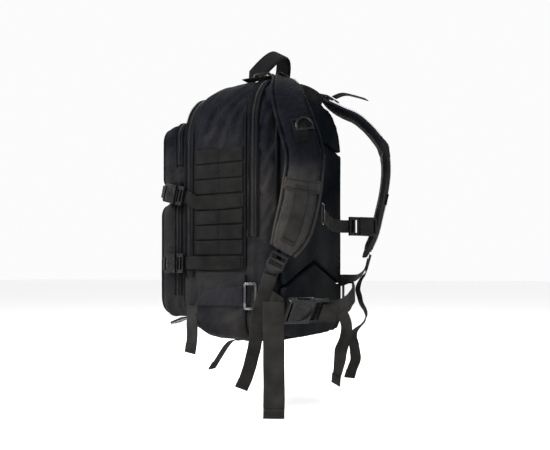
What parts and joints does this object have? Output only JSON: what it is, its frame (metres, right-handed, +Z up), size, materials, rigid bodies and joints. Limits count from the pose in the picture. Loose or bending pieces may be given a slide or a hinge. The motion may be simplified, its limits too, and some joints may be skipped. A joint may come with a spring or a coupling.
{
  "type": "trauma backpack",
  "caption": "Black padded pack with pockets, webbing panels, shoulder straps, waist and sternum straps, release buckles and a top carry handle.",
  "frame": {"origin": "middle of the flat back pad's face, which lies on the wearer's back", "axes": "+X towards the wearer's right, +Y out of the back pad towards the wearer, +Z up"},
  "size_m": [0.3403, 0.4308, 0.7128],
  "materials": {
    "fabric": "coated packcloth, matt",
    "webbing": "woven nylon webbing",
    "foam": "padded packcloth and mesh",
    "sheet": "stiff plastic sheet",
    "plastic": "moulded acetal, satin",
    "metal": "black coated, worn bright at the edges"
  },
  "bodies": {
    "bag": {"main_compartment": "fabric", "rear_compartment": "fabric", "frame_sheet": "sheet", "lumbar_pad": "foam", "back_pad": "foam", "upper_back_pad": "foam", "upper_pocket": "fabric", "lower_pocket": "fabric", "upper_pocket_webbing": "webbing", "lower_pocket_webbing": "webbing", "side_webbing_right": "webbing", "side_webbing_left": "webbing", "rear_zip": "webbing", "main_zip": "webbing", "upper_buckle_right_socket": "plastic", "lower_buckle_right_socket": "plastic", "upper_buckle_left_socket": "plastic", "lower_buckle_left_socket": "plastic", "shoulder_pad_right": "foam", "lower_strap_right": "webbing", "shoulder_tail_right": "webbing", "shoulder_pad_left": "foam", "lower_strap_left": "webbing", "shoulder_tail_left": "webbing", "load_lifter_right": "webbing", "load_lifter_left": "webbing", "sternum_socket": "plastic", "sternum_strap": "webbing", "waist_socket": "plastic", "waist_belt_right": "webbing", "waist_belt_left": "webbing", "belt_tail_right": "webbing", "belt_tail_left": "webbing", "hip_wing_right": "foam", "hip_wing_left": "foam", "corner_lash_strap": "webbing", "bottom_lash_strap": "webbing"},
    "carry_handle": {"carry_handle": "webbing"},
    "rear_zip_slider_right": {"rear_zip_slider_right": "metal"},
    "rear_zip_slider_left": {"rear_zip_slider_left": "metal"},
    "main_zip_slider_upper": {"main_zip_slider_upper": "metal"},
    "main_zip_slider_lower": {"main_zip_slider_lower": "metal"},
    "upper_pocket_slider": {"upper_pocket_slider": "metal"},
    "lower_pocket_slider": {"lower_pocket_slider": "metal"},
    "upper_buckle_right_tongue": {"upper_buckle_right_tongue": "plastic"},
    "lower_buckle_right_tongue": {"lower_buckle_right_tongue": "plastic"},
    "upper_buckle_left_tongue": {"upper_buckle_left_tongue": "plastic"},
    "lower_buckle_left_tongue": {"lower_buckle_left_tongue": "plastic"},
    "sternum_tongue": {"sternum_tongue": "plastic"},
    "waist_tongue": {"waist_tongue": "plastic"},
    "ladder_lock_right": {"ladder_lock_right": "plastic"},
    "ladder_lock_left": {"ladder_lock_left": "plastic"},
    "lifter_lock_right": {"lifter_lock_right": "plastic"},
    "lifter_lock_left": {"lifter_lock_left": "plastic"},
    "bottom_lock_right": {"bottom_lock_right": "plastic"},
    "bottom_lock_left": {"bottom_lock_left": "plastic"},
    "d_ring_right": {"d_ring_right": "metal"},
    "d_ring_left": {"d_ring_left": "metal"},
    "belt_ring_right": {"belt_ring_right": "metal"},
    "belt_ring_left": {"belt_ring_left": "metal"}
  },
  "joints": [
    {"name": "handle_fold", "type": "hinge", "parent": "bag", "child": "carry_handle", "pos_m": [0, -0.1153, 0.245], "axis": [1, 0, 0], "range_deg": [-16, 76]},
    {"name": "rear_zip_run_right", "type": "slide", "parent": "bag", "child": "rear_zip_slider_right", "axis": [1, 0, 0], "range_m": [0, 0.045]},
    {"name": "rear_zip_run_left", "type": "slide", "parent": "bag", "child": "rear_zip_slider_left", "axis": [-1, 0, 0], "range_m": [0, 0.03]},
    {"name": "main_zip_run_upper", "type": "slide", "parent": "bag", "child": "main_zip_slider_upper", "axis": [0, 0, 1], "range_m": [0, 0.05]},
    {"name": "main_zip_run_lower", "type": "slide", "parent": "bag", "child": "main_zip_slider_lower", "axis": [0, 0, -1], "range_m": [0, 0.05]},
    {"name": "upper_pocket_run", "type": "slide", "parent": "bag", "child": "upper_pocket_slider", "axis": [0, 0, -1], "range_m": [0, 0.05]},
    {"name": "lower_pocket_run", "type": "slide", "parent": "bag", "child": "lower_pocket_slider", "axis": [0, 0, -1], "range_m": [0, 0.12]},
    {"name": "upper_buckle_right_release", "type": "slide", "parent": "bag", "child": "upper_buckle_right_tongue", "axis": [0.3226, 0.9218, -0.2151], "range_m": [0, 0.02]},
    {"name": "lower_buckle_right_release", "type": "slide", "parent": "bag", "child": "lower_buckle_right_tongue", "axis": [0.3304, 0.9439, 0], "range_m": [0, 0.02]},
    {"name": "upper_buckle_left_release", "type": "slide", "parent": "bag", "child": "upper_buckle_left_tongue", "axis": [-0.3226, 0.9218, -0.2151], "range_m": [0, 0.02]},
    {"name": "lower_buckle_left_release", "type": "slide", "parent": "bag", "child": "lower_buckle_left_tongue", "axis": [-0.3304, 0.9439, 0], "range_m": [0, 0.02]},
    {"name": "sternum_release", "type": "slide", "parent": "bag", "child": "sternum_tongue", "axis": [0.7483, -0.6633, 0], "range_m": [0, 0.02]},
    {"name": "waist_release", "type": "slide", "parent": "bag", "child": "waist_tongue", "axis": [-0.8194, 0.5726, -0.0247], "range_m": [0, 0.033]},
    {"name": "ladder_lock_right_tilt", "type": "hinge", "parent": "bag", "child": "ladder_lock_right", "pos_m": [0.17, 0.0057, -0.1], "axis": [0.3988, -0.7933, 0.46], "range_deg": [0, 40]},
    {"name": "ladder_lock_left_tilt", "type": "hinge", "parent": "bag", "child": "ladder_lock_left", "pos_m": [-0.104, 0.0767, -0.094], "axis": [0.9315, 0.3284, -0.1564], "range_deg": [0, 40]},
    {"name": "lifter_lock_right_tilt", "type": "hinge", "parent": "bag", "child": "lifter_lock_right", "pos_m": [0.08, -0.0593, 0.2486], "axis": [-0.9985, -0.0555, 0], "range_deg": [0, 45]},
    {"name": "lifter_lock_left_tilt", "type": "hinge", "parent": "bag", "child": "lifter_lock_left", "pos_m": [-0.0785, -0.0043, 0.2355], "axis": [-0.9999, 0.0139, -0.0042], "range_deg": [0, 45]},
    {"name": "bottom_lock_right_tilt", "type": "hinge", "parent": "bag", "child": "bottom_lock_right", "pos_m": [0.08, -0.2573, -0.223], "axis": [-1, 0, 0], "range_deg": [-45, 0]},
    {"name": "bottom_lock_left_tilt", "type": "hinge", "parent": "bag", "child": "bottom_lock_left", "pos_m": [-0.08, -0.2573, -0.223], "axis": [-1, 0, 0], "range_deg": [-45, 0]},
    {"name": "d_ring_right_swing", "type": "hinge", "parent": "bag", "child": "d_ring_right", "pos_m": [0.1362, 0.0383, 0.126], "axis": [-0.6451, 0.7472, 0.1599], "range_deg": [0, 140]},
    {"name": "d_ring_left_swing", "type": "hinge", "parent": "bag", "child": "d_ring_left", "pos_m": [-0.0958, 0.1168, 0.1193], "axis": [-0.9219, -0.3786, -0.0829], "range_deg": [0, 140]},
    {"name": "belt_ring_right_swing", "type": "hinge", "parent": "bag", "child": "belt_ring_right", "pos_m": [0.152, -0.0778, -0.174], "axis": [0, 0, -1], "range_deg": [0, 60]},
    {"name": "belt_ring_left_swing", "type": "hinge", "parent": "bag", "child": "belt_ring_left", "pos_m": [-0.149, -0.0028, -0.174], "axis": [0, 0, 1], "range_deg": [0, 60]}
  ]
}
